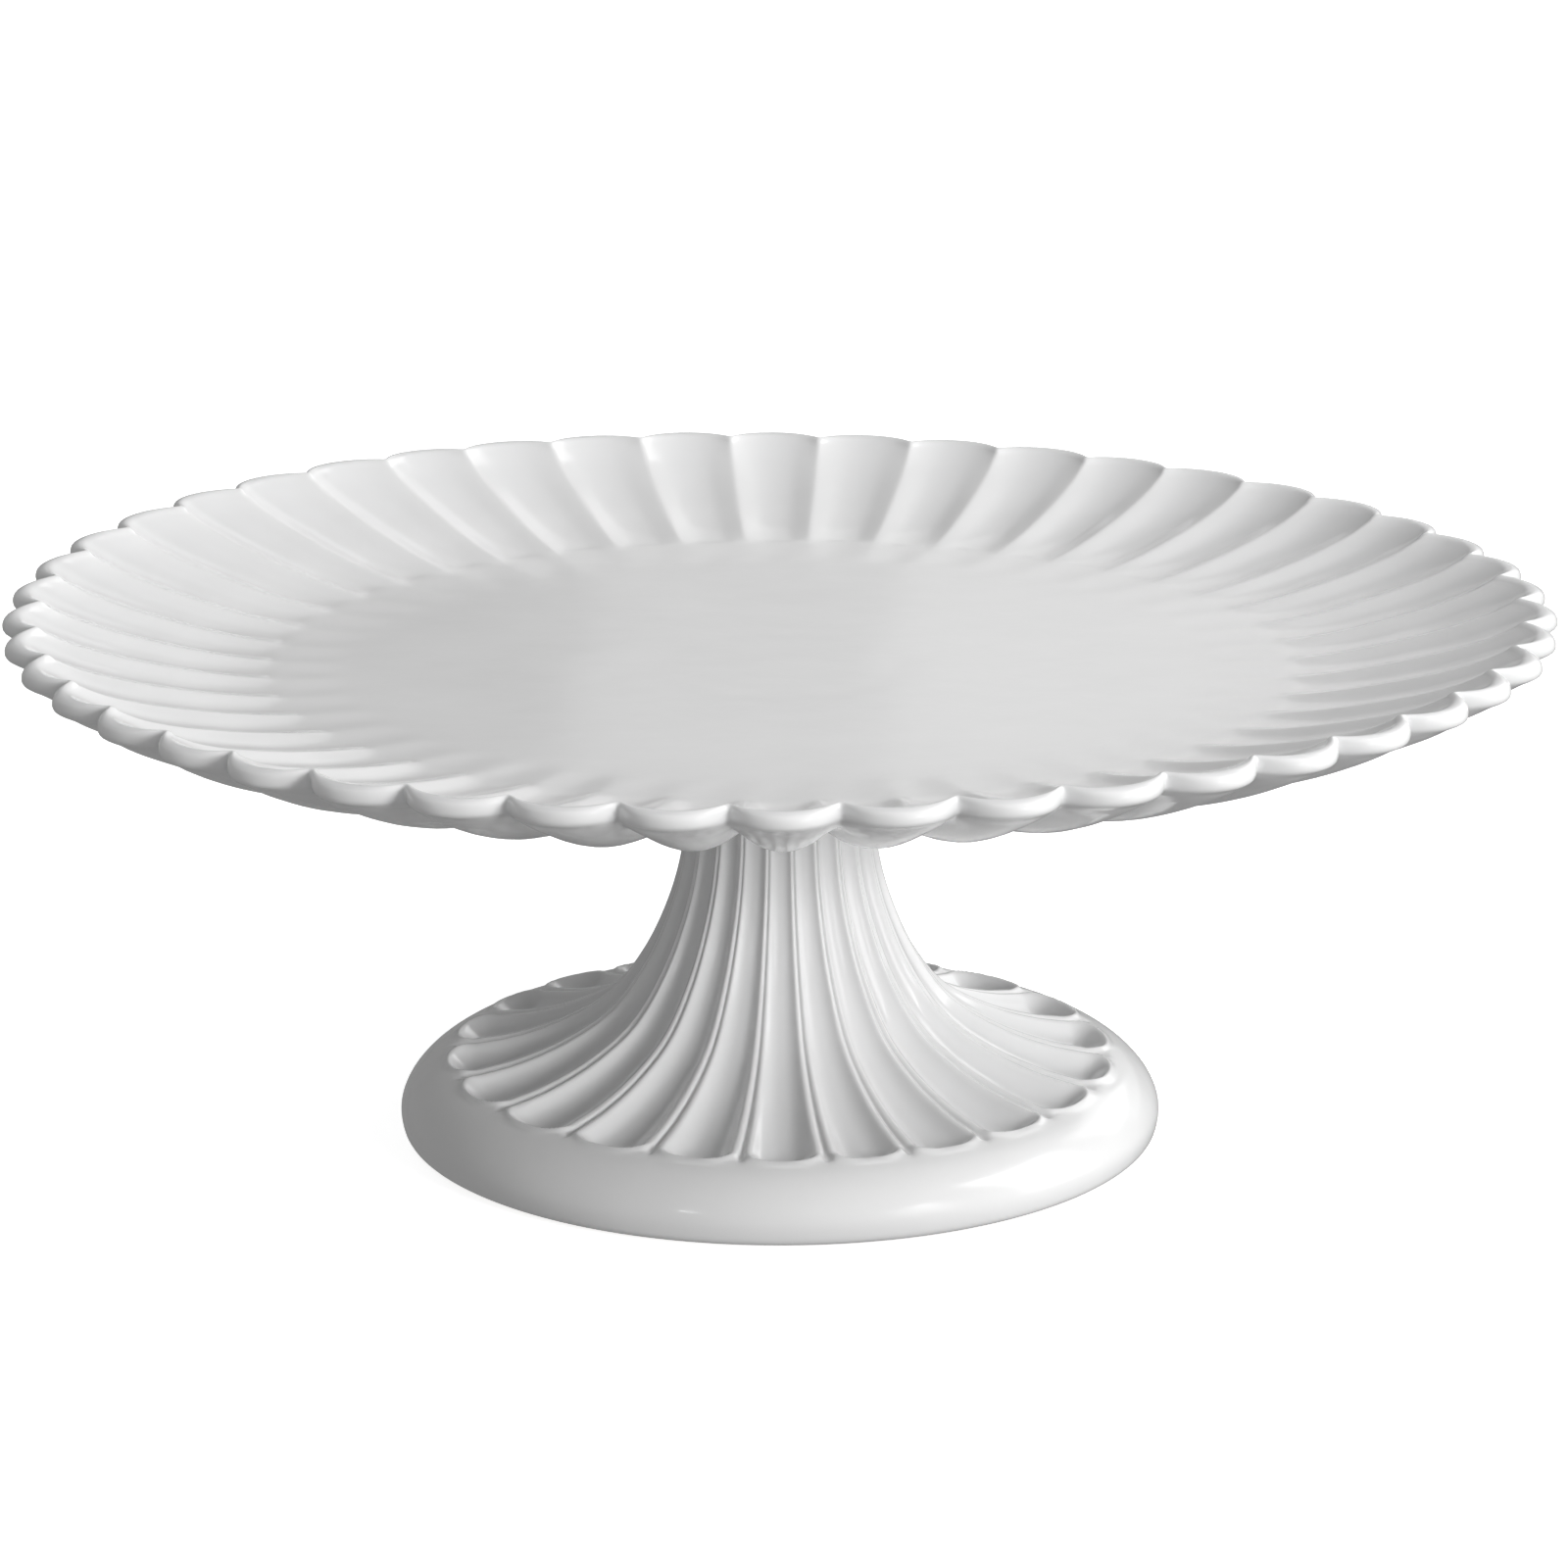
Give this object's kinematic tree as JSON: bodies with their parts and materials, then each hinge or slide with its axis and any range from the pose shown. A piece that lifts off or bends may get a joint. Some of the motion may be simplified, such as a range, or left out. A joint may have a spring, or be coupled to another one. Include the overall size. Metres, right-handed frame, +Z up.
{
  "type": "cake stand",
  "caption": "White glazed cake stand: round plate with a fluted, scalloped rim on a fluted pedestal foot, clamped by a screw from below; plate lifts off.",
  "frame": {"origin": "middle of the footprint, on the table under the foot pads", "axes": "+Z up along the stand's axis; +X to the right and +Y away from a viewer at the front"},
  "size_m": [0.3044, 0.305, 0.1096],
  "materials": {
    "plate_glaze": "glossy white glaze",
    "foot_glaze": "glossy white glaze, bare ground foot rim",
    "gasket_silicone": "matte translucent white",
    "insert_brass": "turned, dull",
    "screw_steel": "stainless, bright",
    "washer_steel": "stainless, stamped",
    "cushion_rubber": "matte black",
    "pad_rubber": "satin translucent"
  },
  "bodies": {
    "pedestal": {"pedestal_foot": "foot_glaze", "seat_gasket": "gasket_silicone", "foot_pads": "pad_rubber"},
    "plate": {"cake_plate": "plate_glaze", "threaded_insert": "insert_brass"},
    "clamp_washers": {"steel_washer": "washer_steel", "cushion_washer": "cushion_rubber"},
    "clamp_screw": {"clamp_screw": "screw_steel"}
  },
  "joints": [
    {"name": "plate_lift", "type": "slide", "parent": "pedestal", "child": "plate", "axis": [0, 0, 1], "range_m": [0, 0.05]},
    {"name": "screw_travel", "type": "slide", "parent": "pedestal", "child": "clamp_washers", "axis": [0, 0, -1], "range_m": [0, 0.008]},
    {"name": "screw_turn", "type": "hinge", "parent": "clamp_washers", "child": "clamp_screw", "pos_m": [0, 0, 0.0682], "axis": [0, 0, -1], "range_deg": [0, 2304]}
  ],
  "couplings": [
    {"joint": "screw_travel", "follows": "screw_turn", "m_per_rad": 0.00019894}
  ]
}
